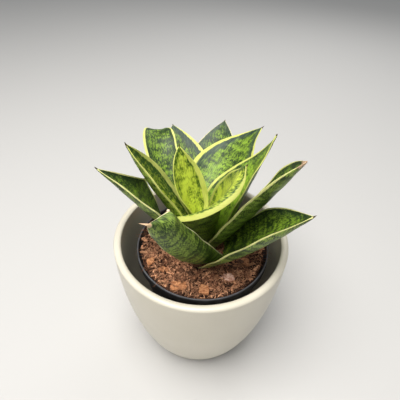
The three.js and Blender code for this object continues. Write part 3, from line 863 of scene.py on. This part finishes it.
# %% The leaf finish
def leaf_finish(name, dark, light):
    finish = Finish(name)
    lie = finish.attribute("lie", "Vector")
    face = finish.attribute("face")
    bright = finish.attribute("bright")
    cream = finish.attribute("cream")
    upper = face.ramp(-0.12, 0.12)

    strips = finish.noise(finish.scaled(lie, 1.5, 0.05, 1), 1.0, 1)
    across, along, own_pattern = [finish.part(lie, axis) for axis in "XYZ"]
    shifted = finish.node("ShaderNodeCombineXYZ", {}, {
        "X": across * 0.07, "Y": (along + 7 * strips) * 0.52, "Z": own_pattern})
    bands = finish.noise(shifted, 1.0, 2, 0.6).ramp(0.36, 0.64)
    streaks = finish.noise(finish.scaled(lie, 1.0, 0.11, 1), 1.0, 3, 0.65).ramp(0.32, 0.68)
    mottle = finish.noise(finish.scaled(lie, 0.16, 0.09, 1), 1.0, 2).ramp(0.3, 0.7)
    grain = finish.noise(finish.scaled(lie, 1.3, 0.5, 1), 1.0, 2).ramp(0.35, 0.65)

    band = finish.attribute("band")
    lit = 0.12 + 0.88 * upper
    near_edge = band.ramp(0.5, 0.0)
    glow = (bright * (0.45 + 0.85 * mottle) - 0.12) * lit
    green = glow + 0.6 * (bands - 0.5) + 0.5 * (streaks - 0.5) + 0.4 * (grain - 0.5) + 0.16
    green = green - 0.4 * near_edge * upper
    colour = finish.mix(green.most(0).least(1), dark, light)
    # The underside: the leaf's duller green pattern with painted fill light. Its two colours and its
    # share of bright are set lighter, so undersides in the shade between the leaves look lit.
    underside_pattern_and_fill = 0.12 + 0.4 * bright + 1.0 * (bands - 0.5) + 0.6 * (streaks - 0.5) + 0.35 * mottle
    underside_green_and_painted_fill = finish.mix(underside_pattern_and_fill.most(0).least(1), srgb(44, 62, 25), srgb(146, 170, 74))
    colour = finish.mix((1 - upper) * 0.8, colour, underside_green_and_painted_fill)

    # The blue-green band beside the margin, on the upper face and strongest on the low back leaves, is
    # partly painted sheen: its greyish bloom colour stands in for the sky's reflection.
    ragged = band + 0.5 * (strips - 0.5) + 0.25 * (streaks - 0.5)
    blue = ragged.ramp(0.95, 0.25) * finish.attribute("blue") * upper
    bloom_and_painted_sheen = finish.mix(streaks * 0.6, srgb(30, 50, 40), srgb(90, 108, 86))
    colour = finish.mix(blue, colour, bloom_and_painted_sheen)

    rim = finish.attribute("rim") + 0.55 * (strips - 0.5) + 0.2 * (streaks - 0.5)
    margin = rim.ramp(1.08, 0.86)
    yellow = finish.mix(streaks * 0.6, srgb(208, 211, 112), srgb(184, 192, 84))
    yellow = finish.mix(cream.ramp(0, -1), yellow, srgb(148, 152, 76))
    pale = finish.mix(streaks * 0.6, srgb(226, 219, 178), srgb(196, 186, 138))
    colour = finish.mix(margin, colour, finish.mix(cream, yellow, pale))

    sheath = finish.attribute("pale_foot") * (1 - upper) * 0.5
    colour = finish.mix(sheath, colour, srgb(176, 186, 116))
    dry = finish.attribute("dry") + 0.5 * (streaks - 0.5)
    pale_tip = finish.attribute("pale_tip")
    husk = finish.mix(pale_tip, srgb(80, 72, 40), srgb(200, 168, 134))
    colour = finish.mix(dry.ramp(0.35, 0.75), colour, husk)
    colour = finish.mix(dry.ramp(1.0, 1.25) * (1 - pale_tip), colour, srgb(46, 40, 26))

    return finish.surface(
        Base_Color=colour,
        Roughness=0.4 + 0.12 * streaks + 0.1 * margin,
        Normal=finish.bump(0.6 * grain + 0.4 * bands, 0.00012, 0.55),
        Specular_IOR_Level=0.32,
        Subsurface_Weight=0.06,
        Subsurface_Radius=(0.4, 1.0, 0.2),
        Subsurface_Scale=0.002,
    )


grown_leaf = leaf_finish("grown_leaf", srgb(36, 56, 22), srgb(150, 184, 56))
young_leaf = leaf_finish("young_leaf", srgb(52, 84, 22), srgb(200, 214, 76))


# %% [markdown]
# The oldest front leaf has a dried corner, which ends in a small pale knob like a bead of husk. A
# ball is enough for it at this size.

# %% The knob
def ball(radius, rings=12, sides=18):
    """A ball of that radius: a half circle spun round the Z axis."""
    latitude = np.linspace(-np.pi / 2, np.pi / 2, rings)
    return spun(np.stack([radius * np.cos(latitude), radius * np.sin(latitude)], axis=1), sides)


def husk_finish():
    finish = Finish("dry_husk")
    grain = finish.noise(finish.place(), 1800, 2)
    colour = finish.mix(grain, srgb(196, 172, 134), srgb(236, 222, 192))
    return finish.surface(Base_Color=colour, Roughness=0.8)


# %% [markdown]
# Now every leaf is made and takes the place of its solid. Its number in the table is its age: each
# one starts a step further out and lower. The printed difference shows how well the fine leaf
# fills its solid's box.

# %% All the leaves
YOUNG = {"leaf_heart", "leaf_left_inner", "leaf_front_inner"}
for age, leaf in enumerate(LEAVES):
    name = leaf["name"]
    grid, numbers = leaf_surface(leaf, age)
    blade = sewn(name + "_blade", grid, young_leaf if name in YOUNG else grown_leaf, numbers)
    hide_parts(name)
    if "knob" in leaf:
        corner = grid[round(leaf["widest"] * (ALONG - 1)), 0]
        knob = sewn(name + "_knob", ball(leaf["knob"] * MM) + corner, husk_finish())
    low, high = corners_of(name)
    fine_low, fine_high = grid.min(axis=(0, 1)), grid.max(axis=(0, 1))
    off = np.abs(np.concatenate([fine_low - low, fine_high - high])).max()
    print(name, "differs from its solid's box by at most", round(1000 * off, 1), "mm")

# %% [markdown]
# The stem itself stays as the solid model has it, since only a little of it shows between the feet
# of the leaves. A fine surface could replace it, and nobody would see the difference. It gets a
# plain straw-coloured finish.

# %% The stem
def stem_finish():
    finish = Finish("dry_stem")
    grain = finish.noise(finish.place(), 600, 3)
    colour = finish.mix(grain, srgb(120, 102, 62), srgb(176, 160, 108))
    return finish.surface(Base_Color=colour, Roughness=0.75)


stem = stem_finish()
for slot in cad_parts["crown"].material_slots:
    slot.material = stem
print("the stem's node has", len(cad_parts["crown"].material_slots), "material slot")

# %% [markdown]
# ## Floor, light and camera
# The plant stands on a plain pale floor in soft light. One lamp could light it, but a small lamp
# makes hard shadows between the leaves, so the lights are wide discs. One large panel hangs above
# and a little to the left and does most of the work, two weak ones fill in from the front and the
# back, and an even sky keeps the shadows open. The camera looks down on the plant from in front.

# %% Floor and lights
def floor_finish():
    finish = Finish("pale_floor")
    return finish.surface(Base_Color=srgb(196, 194, 191), Roughness=0.85)


FLOOR_SIZE = 6.0
floor_mesh = bpy.data.meshes.new("floor")
reach = FLOOR_SIZE / 2
floor_corners = [(-reach, -reach, 0), (reach, -reach, 0), (reach, reach, 0), (-reach, reach, 0)]
floor_mesh.from_pydata(floor_corners, [], [(0, 1, 2, 3)])
floor_mesh.materials.append(floor_finish())
floor = bpy.data.objects.new("floor", floor_mesh)
bpy.context.scene.collection.objects.link(floor)


def aimed(name, data, place, target):
    """A light or camera at a place, its -Z axis towards the target."""
    made = bpy.data.objects.new(name, data)
    made.location = place
    made.rotation_euler = (Vector(target) - Vector(place)).to_track_quat("-Z", "Y").to_euler()
    bpy.context.scene.collection.objects.link(made)
    return made


def panel(name, place, target, size, watts, colour=(1, 1, 1)):
    data = bpy.data.lights.new(name, "AREA")
    data.shape = "DISK"
    data.size = size
    data.energy = watts
    data.color = colour
    return aimed(name, data, place, target)


panel("overhead_panel", (-0.2, -0.2, 1.15), (0, 0.02, 0.1), 0.8, 19, (1.0, 0.985, 0.96))
panel("front_panel", (-0.5, -1.0, 0.6), (0, 0, 0.12), 0.8, 1.5, (1.0, 1.0, 1.0))
panel("back_panel", (0.35, 0.9, 0.75), (0, 0, 0.12), 0.6, 2.5, (1.0, 1.0, 1.0))
world = bpy.data.worlds.new("soft_sky")
world.use_nodes = True
world.node_tree.nodes["Background"].inputs["Color"].default_value = (0.9, 0.95, 1.0, 1)
world.node_tree.nodes["Background"].inputs["Strength"].default_value = 0.3
bpy.context.scene.world = world

# %% The camera
PITCH, YAW, ROLL = math.radians(41.53), math.radians(-0.62), math.radians(2.04)
CAMERA_PLACE = (0.0, -0.18706, 0.31928)
level = math.cos(PITCH)
ahead = np.array([math.sin(YAW) * level, math.cos(YAW) * level, -math.sin(PITCH)])
level_right = np.cross(ahead, [0, 0, 1])
level_right /= np.linalg.norm(level_right)
level_up = np.cross(level_right, ahead)
right = level_right * math.cos(ROLL) + level_up * math.sin(ROLL)
up = -level_right * math.sin(ROLL) + level_up * math.cos(ROLL)
camera_data = bpy.data.cameras.new("camera")
camera_data.sensor_width = 36
camera_data.lens = 31.5
camera_data.clip_start = 0.01
camera = bpy.data.objects.new("camera", camera_data)
turned_camera = Matrix(np.column_stack([right, up, -ahead]).tolist()).to_4x4()
turned_camera.translation = CAMERA_PLACE
camera.matrix_world = turned_camera
bpy.context.scene.collection.objects.link(camera)
bpy.context.scene.camera = camera
bpy.context.scene.view_settings.view_transform = "Standard"
print("camera:", round(1000 * np.linalg.norm(CAMERA_PLACE)), "mm from the origin")
